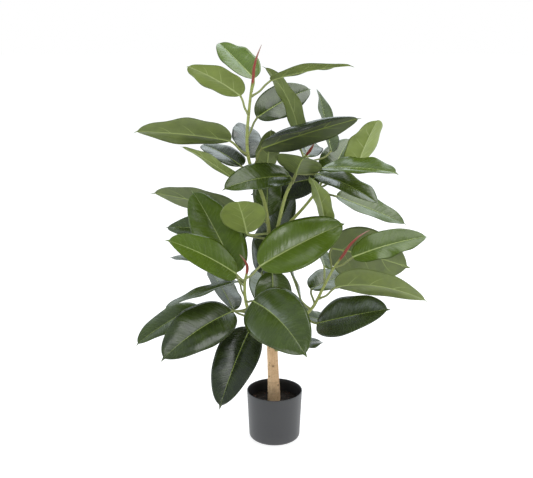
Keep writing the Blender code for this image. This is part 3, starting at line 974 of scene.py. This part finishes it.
def make_leaf(name, tone, finishes):
    stalk, stalk_radius, stations, tip = leaf_solids[name]
    stalk[1].z += RAISED_STALKS.get(name, 0)
    stalk_radius *= CROWDED_SLIMMING if name in CROWDED else 1
    draw = random.Random(name)
    centers = np.array([stalk[-1], *(station[0] for station in stations), tip])
    steps = np.linalg.norm(np.diff(centers, axis=0), axis=1)
    knots = np.concatenate([[0], np.cumsum(steps)]) / steps.sum()
    share = along_shares()
    line = cubic(knots, centers, share)
    tangent = unit(cubic(knots, np.gradient(centers, knots, axis=0), share))
    ups = [station[1] for station in stations]
    up = cubic(knots, [ups[0], *ups, ups[-1]], share)
    right = unit(np.cross(tangent, up))
    up = np.cross(right, tangent)
    widths = [(edges[0] - edges[1]).length / 2 for _, _, edges in stations]
    lifts = [(middle(edges) - center).dot(way) for center, way, edges in stations]
    half = np.maximum(outline(share) * max(widths) * 1.01, 0.0004)
    lift = half * max(lifts) / max(widths)
    line -= up * (SKIN + steps.sum() * 0.02 * np.clip((share - 0.92) / 0.08, 0, 1) ** 2)[:, None]
    recurve = RECURVED.get(name, draw.uniform(-0.15, 0.15))
    rings, across, from_rib = blade_rings(
        draw, line, right, up, share, half, lift, stalk_radius, recurve)
    foot_flare = 0 if name in CROWDED else FOOT_FLARE
    stalk_part = stalk_rings(np.array(stalk), stalk_radius, right[0], rings.shape[1], foot_flare)
    points, faces = close_rings(np.concatenate([stalk_part, rings]), line[-1] + (line[-1] - line[-2]))
    mesh = bpy.data.meshes.new(name)
    mesh.from_pydata(points, [], faces)
    mesh.shade_smooth()
    for finish in finishes:
        mesh.materials.append(finish)
    mark_leaf(mesh, tone, share, across, from_rib, len(stalk_part))
    return show(f"green_{name}", mesh)


# %% [markdown]
# ## Leaf materials
#
# Old leaves are a deep bottle green and young ones a fresh yellow green, so each leaf carries a tone
# from 0 to 1, which also carries painted light: a dark tone paints shade, and a light tone paints
# light shining through an underside. The upper side is glossy, with a pale midrib and faint veins,
# and the gloss breaks up into fine streaks along the veins. The youngest leaves shine less and show a
# wider midrib. The underside is a duller olive, lighter than the top, with a strong rib and fewer,
# clearer veins. The stalk has the rib's yellow green.

# %% Leaf finishes
RIB_OLD, RIB_YOUNG = (0.21, 0.27, 0.045), (0.43, 0.50, 0.20)
STALK_OLD = (0.17, 0.205, 0.045)
RIB_END = 1.15  # the rib would close up a little beyond the tip
STREAK_SCALE, STREAK_LEAN, STREAK_SQUEEZE = 40.0, 0.14, 0.07
GLOSS_STREAKS, GLOSS_CLOUDS = 0.22, 0.12  # their parts in the roughness
STREAK_SHARE = 0.55
DENT_SCALE, DENT_SHARE = 30.0, 2.6
UPPER = {"old": (0.012, 0.019, 0.005), "young": (0.115, 0.185, 0.014), "vein_strength": 0.05,
         "vein_values": {"Count": 12.0, "Lean": 0.14, "Width": 0.16, "Reach": 0.95},
         "relief": -0.4, "cloudiness": 0.5}
# On the underside the light end of the tone partly paints light shining through the leaf from behind.
UNDER = {"old": (0.066, 0.086, 0.032), "young": (0.235, 0.300, 0.060), "vein_strength": 0.75,
         "vein_values": {"Count": 4.0, "Lean": 0.30, "Width": 0.05, "Reach": 0.75},
         "relief": 0.8, "cloudiness": 0.8}


def streak_noise(tree, along, across):
    """Noise drawn out along the side veins."""
    slanted = minus(tree, along, times(tree, across, STREAK_LEAN))
    place = add(tree, "ShaderNodeCombineXYZ", {0: slanted, 1: times(tree, across, STREAK_SQUEEZE)})
    return noise(tree, place.outputs[0], STREAK_SCALE, 0.4)


def leaf_side(name, roughness, specular, rib_width, old, young, vein_strength, vein_values, relief,
              cloudiness):
    """A leaf surface: tone, mottle, side veins and the midrib, as colour, gloss and bump."""
    material, tree, shader = new_material(name, roughness, specular)
    place = object_place(tree)
    tone = attribute(tree, LEAF_TONE)
    spot = add(tree, "ShaderNodeSeparateXYZ", {0: attribute(tree, LEAF_PLACE, "Vector")})
    along, across, from_rib = spot.outputs
    mottle = use_group(tree, MOTTLE, {"Place": place, "Scale": 34.0, "Detail": 3.0, "Fine Share": 0.25})
    veins = use_group(tree, VEINS, {"Along": along, "Across": across, **vein_values})
    clouds = times(tree, minus(tree, mottle["Mixed"], 0.5), cloudiness)
    # The tone mixes leaf age with painted light: shade on dark leaves, light through lit undersides.
    tone_and_painted_light = add(tree, "ShaderNodeMath", {0: tone, 1: clouds}, operation="ADD", use_clamp=True).outputs[0]
    green = blend_colors(tree, tone_and_painted_light, old, young)
    rib_color = blend_colors(tree, tone, RIB_OLD, RIB_YOUNG)
    veined = blend_colors(tree, times(tree, veins["Vein"], vein_strength), green, rib_color)
    narrowing = times(tree, minus(tree, RIB_END, along), rib_width)
    rib = soft_step(tree, calc(tree, "DIVIDE", from_rib, narrowing), 1.0, 0.55)
    margin = soft_step(tree, across, 0.975, 1.0)
    edged = blend_colors(tree, times(tree, margin, 0.5), veined, rib_color)
    tree.links.new(blend_colors(tree, rib, edged, rib_color), shader.inputs["Base Color"])
    streaks = streak_noise(tree, along, across)
    gloss = plus(tree, times(tree, streaks, GLOSS_STREAKS), times(tree, mottle["Mixed"], GLOSS_CLOUDS))
    even = (GLOSS_STREAKS + GLOSS_CLOUDS) / 2
    tree.links.new(plus(tree, gloss, roughness - even), shader.inputs["Roughness"])
    ribbed = plus(tree, times(tree, veins["Vein"], relief), times(tree, streaks, STREAK_SHARE))
    height = plus(tree, ribbed, times(tree, noise(tree, place, DENT_SCALE, 0.5), DENT_SHARE))
    bump(tree, shader, height, 0.0005, 0.7)
    return material


def leaf_stalk():
    material, tree, shader = new_material("leaf_stalk", 0.45, 0.4)
    mottle = use_group(tree, MOTTLE, {"Place": object_place(tree), "Scale": 90.0, "Detail": 2.0})
    rib_color = blend_colors(tree, attribute(tree, LEAF_TONE), STALK_OLD, RIB_YOUNG)
    shaded = blend_colors(tree, times(tree, mottle["Mixed"], 0.5), rib_color, STEM_SCAR)
    tree.links.new(shaded, shader.inputs["Base Color"])
    return material


polished = leaf_side("leaf_upper", 0.26, 0.55, 1.8, **UPPER)
soft_green = leaf_side("young_leaf_upper", 0.25, 0.38, 2.3, **UPPER)
below = leaf_side("leaf_under", 0.55, 0.5, 2.2, **UNDER)
stalk_finish = leaf_stalk()

# %% [markdown]
# ## All the leaves
#
# Most leaves draw an ordinary tone near the dark end. A few have tones chosen by name, partly for their
# age, new growth at the front and the top or old leaves low down, and partly as painted light: a dark
# tone paints the shade a leaf sits in, and a light tone paints light shining through its underside.
# The young ones among the large leaves get the finish with less shine.

# %% Make the leaves
# Dark tones here partly paint the shade a leaf sits in; light tones partly paint light shining through
# an underside.
AGE_AND_PAINTED_LIGHT_TONES = {
    "front_leaf_01": 0.62, "front_leaf_02": 0.66, "front_leaf_04": 0.74, "right_leaf_03": 0.55,
    "back_leaf_03": 0.80, "middle_leaf_03": 0.50, "right_leaf_05": 0.75, "front_leaf_05": 0.30,
    "front_leaf_06": 0.02, "front_leaf_07": 0.15, "right_leaf_07": 0.14, "leader_leaf_06": 0.12,
    "leader_leaf_07": 0.08, "leader_leaf_01": 0.75, "leader_leaf_02": 0.75, "leader_leaf_03": 0.48,
    "middle_leaf_01": 0.55, "back_leaf_01": 0.95, "leader_leaf_08": 0.65, "leader_leaf_14": 0.75,
    "leader_leaf_11": 0.05, "leader_leaf_05": 0.36, "right_leaf_06": 0.5, "leader_leaf_09": 0.3,
    "back_leaf_05": 0.05, "trunk_leaf_02": 0.15,
}
YOUNG_LEAVES = ("front_leaf_01", "front_leaf_02", "front_leaf_04", "right_leaf_03", "middle_leaf_03")
leaf_faces = 0
for name in LEAVES:
    ordinary = 0.2 + 0.25 * random.Random(name + " tone").random()
    tone = AGE_AND_PAINTED_LIGHT_TONES.get(name, ordinary)
    above = soft_green if name in YOUNG_LEAVES else polished
    leaf = make_leaf(name, tone, (above, below, stalk_finish))
    hand_over(leaf, "leaf", name)
    leaf_faces += len(leaf.data.polygons)
print("leaf faces:", leaf_faces)

# %% [markdown]
# ## Floor, light and camera
#
# The plant stands on a plain white floor in soft light. Most of the light comes from the world
# around it, brighter above and behind. Large lamps overhead and behind give the leaves their sheen,
# a broad one at the front left lights the near side, a small key lamp at the front right draws
# streaks on the leaves that face it, and a lamp at each side lights the edges. The camera looks
# slightly down from a little above the top leaves.

# %% Floor
FLOOR_SIZE = 16.0


def make_floor():
    mesh = bpy.data.meshes.new("floor")
    half = FLOOR_SIZE / 2
    corners = [(-half, -half), (half, -half), (half, half), (-half, half)]
    mesh.from_pydata([(x, y, CAD_BOX[0][2] - 0.0005) for x, y in corners], [], [(0, 1, 2, 3)])
    floor = show("floor", mesh)
    material, _, shader = new_material("white_floor", 0.8, 0.1)
    shader.inputs["Base Color"].default_value = (0.4, 0.4, 0.4, 1)
    shader.inputs["Emission Color"].default_value = (1, 1, 1, 1)
    shader.inputs["Emission Strength"].default_value = 0.8
    mesh.materials.append(material)


make_floor()

# %% Light
COOL_WHITE = (0.86, 0.94, 1.0)
WORLD_LOW, WORLD_HIGH = 0.28, 0.75
PLANT_MIDDLE = Vector((0, 0, 0.5))  # every lamp is aimed here


def soft_lamp(name, place, size, power, color=(1, 1, 1)):
    lamp = bpy.data.lights.new(name, "AREA")
    lamp.shape, lamp.size, lamp.size_y, lamp.energy = "RECTANGLE", *size, power
    lamp.color = color
    holder = show(name, lamp)
    holder.location = place
    holder.rotation_euler = (PLANT_MIDDLE - Vector(place)).to_track_quat("-Z", "Y").to_euler()


def studio_world():
    world = bpy.data.worlds.new("studio")
    world.use_nodes = True
    tree = world.node_tree
    background = tree.nodes["Background"]
    direction = add(tree, "ShaderNodeTexCoord").outputs["Generated"]
    toward_back = add(tree, "ShaderNodeVectorMath", {0: direction, 1: (0, 0.7, 0.7)},
                      operation="DOT_PRODUCT").outputs["Value"]
    soft = add(tree, "ShaderNodeMapRange",
               {"Value": toward_back, "From Min": -0.6, "From Max": 0.9,
                "To Min": WORLD_LOW, "To Max": WORLD_HIGH},
               interpolation_type="SMOOTHSTEP").outputs["Result"]
    seen = add(tree, "ShaderNodeLightPath").outputs["Is Camera Ray"]
    strength = add(tree, "ShaderNodeMix", {0: seen, 2: soft, 3: 1.0}).outputs[0]
    tree.links.new(blend_colors(tree, seen, COOL_WHITE, (1, 1, 1)), background.inputs["Color"])
    tree.links.new(strength, background.inputs["Strength"])
    bpy.context.scene.world = world


soft_lamp("overhead", (0.9, 0.1, 2.3), (2.3, 1.5), 36)
soft_lamp("key", (1.1, -1.5, 1.4), (0.3, 0.5), 6)
soft_lamp("behind", (0.2, 1.9, 1.9), (2.4, 1.2), 18, COOL_WHITE)
soft_lamp("front", (-1.4, -2.2, 1.5), (1.2, 1.2), 14)
soft_lamp("right side", (2.3, 0.25, 0.7), (0.7, 1.5), 6)
soft_lamp("left side", (-2.2, 0.1, 1.1), (0.8, 1.5), 11, COOL_WHITE)
studio_world()

# %% Camera
CAMERA_PLACE = (-0.02, -2.4, 1.234)
CAMERA_PITCH = math.radians(90 - 16.66)
LENS_MM = 71.0
camera = show("camera", bpy.data.cameras.new("camera"))
camera.data.lens = LENS_MM
camera.data.sensor_width = 36.0
camera.location = CAMERA_PLACE
camera.rotation_euler = (CAMERA_PITCH, 0, 0)
bpy.context.scene.camera = camera
bpy.context.scene.view_settings.view_transform = "Standard"
